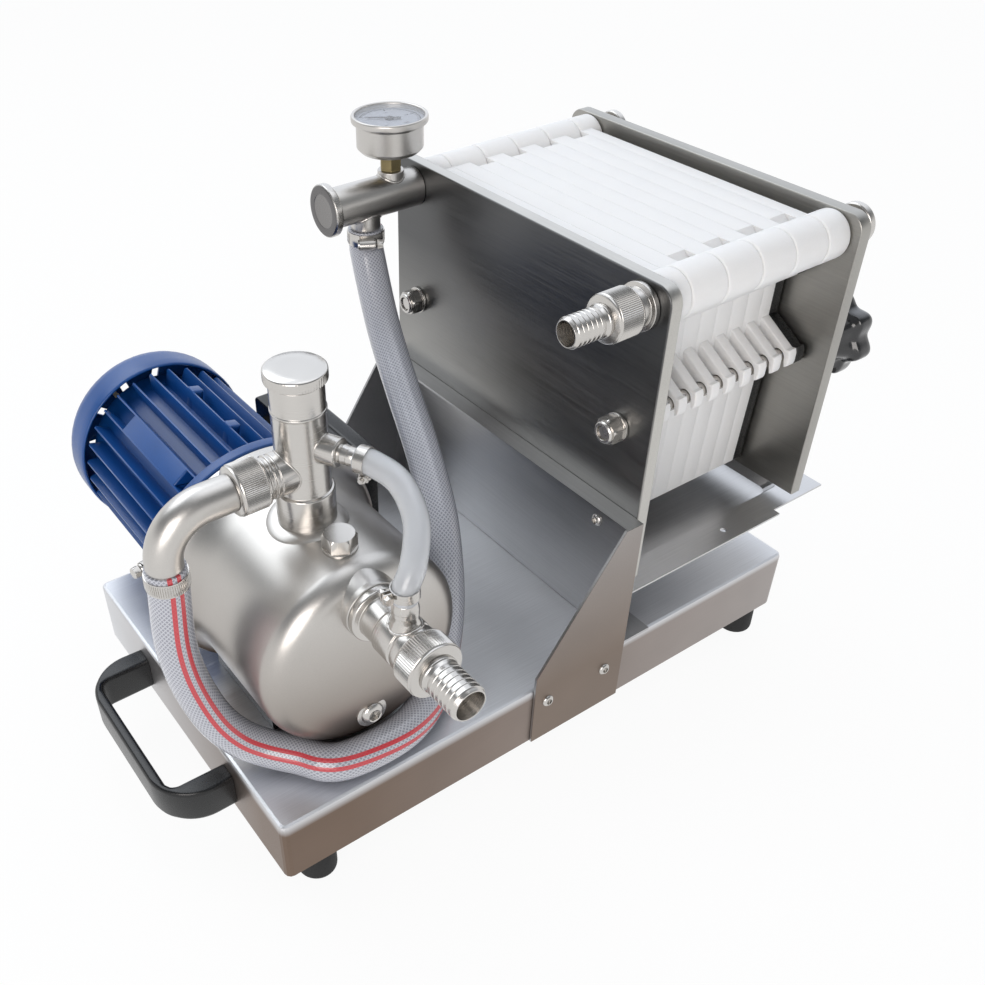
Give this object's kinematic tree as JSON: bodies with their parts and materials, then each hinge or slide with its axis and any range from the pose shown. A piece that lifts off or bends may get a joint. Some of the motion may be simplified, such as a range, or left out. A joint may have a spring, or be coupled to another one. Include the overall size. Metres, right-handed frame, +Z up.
{
  "type": "plate filter press",
  "caption": "Table-top plate filter press: steel tray with pump and motor, clamped pack of white filter plates, pressure gauge and hoses.",
  "frame": {"origin": "bottom centre of the box round the machine without its hoses, on the surface that its feet stand on", "axes": "+X along the tray from the pump end towards the press end, +Y from the side of the hose tails towards the motor's far end, +Z up"},
  "size_m": [0.5594, 0.4292, 0.3931],
  "materials": {
    "brushed_stainless": "brushed",
    "satin_stainless_fittings": "satin, turned",
    "white_polyethylene": "satin moulded",
    "black_plastic": "satin moulded",
    "black_rubber": "matt",
    "brass": "turned",
    "blue_paint": "semi-gloss",
    "cream_plastic": "satin moulded",
    "clear_braided_hose": "clear with white braid"
  },
  "bodies": {
    "machine": {"base_tray": "brushed_stainless", "bypass_hose": "clear_braided_hose", "carry_handle": "black_plastic", "cooling_fan": "cream_plastic", "drip_tray": "brushed_stainless", "elbow_pipe": "satin_stainless_fittings", "elbow_union_nut": "satin_stainless_fittings", "end_plate": "black_plastic", "fan_cowl": "blue_paint", "filter_plate_01": "white_polyethylene", "filter_plate_02": "white_polyethylene", "filter_plate_03": "white_polyethylene", "filter_plate_04": "white_polyethylene", "filter_plate_05": "white_polyethylene", "filter_plate_06": "white_polyethylene", "filter_plate_07": "white_polyethylene", "filter_plate_08": "white_polyethylene", "filter_plate_09": "white_polyethylene", "filter_plate_10": "white_polyethylene", "foot_far_press_end": "black_rubber", "foot_far_pump_end": "black_rubber", "foot_near_press_end": "black_rubber", "foot_near_pump_end": "black_rubber", "front_plate": "brushed_stainless", "gauge_stem": "brass", "inlet_manifold": "satin_stainless_fittings", "lock_nut_far": "brushed_stainless", "lock_nut_near": "brushed_stainless", "main_hose": "clear_braided_hose", "manifold_cap": "satin_stainless_fittings", "motor_frame": "blue_paint", "outlet_spigot": "satin_stainless_fittings", "outlet_tail": "satin_stainless_fittings", "outlet_union_nut": "satin_stainless_fittings", "press_support": "brushed_stainless", "pressure_gauge": "brushed_stainless", "pump_casing": "brushed_stainless", "pump_foot": "black_plastic", "suction_tail": "satin_stainless_fittings", "suction_tee": "satin_stainless_fittings", "suction_union_nut": "satin_stainless_fittings", "terminal_box": "black_plastic", "tie_rod_far": "brushed_stainless", "tie_rod_near": "brushed_stainless", "valve_cap": "satin_stainless_fittings", "valve_column": "satin_stainless_fittings"},
    "sliding_plate": {"rear_plate": "brushed_stainless", "channel_plug_near": "satin_stainless_fittings", "channel_plug_far": "satin_stainless_fittings"},
    "near_knob": {"clamp_knob_near": "black_plastic"},
    "far_knob": {"clamp_knob_far": "black_plastic"}
  },
  "joints": [
    {"name": "clamp_slide", "type": "slide", "parent": "machine", "child": "sliding_plate", "axis": [1, 0, 0], "range_m": [0, 0.015]},
    {"name": "near_knob_turn", "type": "hinge", "parent": "sliding_plate", "child": "near_knob", "pos_m": [0.2585, -0.1052, 0.249], "axis": [1, 0, 0], "continuous": true},
    {"name": "far_knob_turn", "type": "hinge", "parent": "sliding_plate", "child": "far_knob", "pos_m": [0.2585, 0.1178, 0.249], "axis": [1, 0, 0], "continuous": true}
  ]
}
